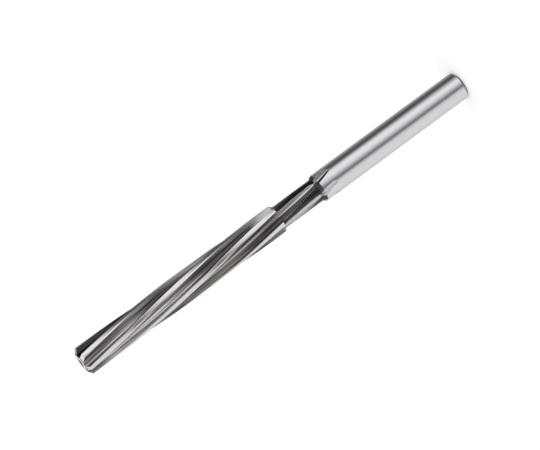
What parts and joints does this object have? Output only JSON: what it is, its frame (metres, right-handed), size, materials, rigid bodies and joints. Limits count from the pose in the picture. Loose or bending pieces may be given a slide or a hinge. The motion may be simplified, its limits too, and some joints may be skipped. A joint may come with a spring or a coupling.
{
  "type": "machine reamer",
  "caption": "Parallel-shank machine reamer with left-hand helical flutes, a bevel lead, a relieved neck and a plain ground shank, for finishing holes to size.",
  "frame": {"origin": "centre of the shank's end face, which the tool stands on", "axes": "+Z along the tool axis from the shank to the tip; +X through the first tooth's cutting edge at the tip"},
  "size_m": [0.006, 0.006, 0.093],
  "materials": {
    "ground_steel": "ground bright on the shank and the teeth, darker unground neck"
  },
  "bodies": {
    "root": {"reamer": "ground_steel"}
  },
  "joints": []
}
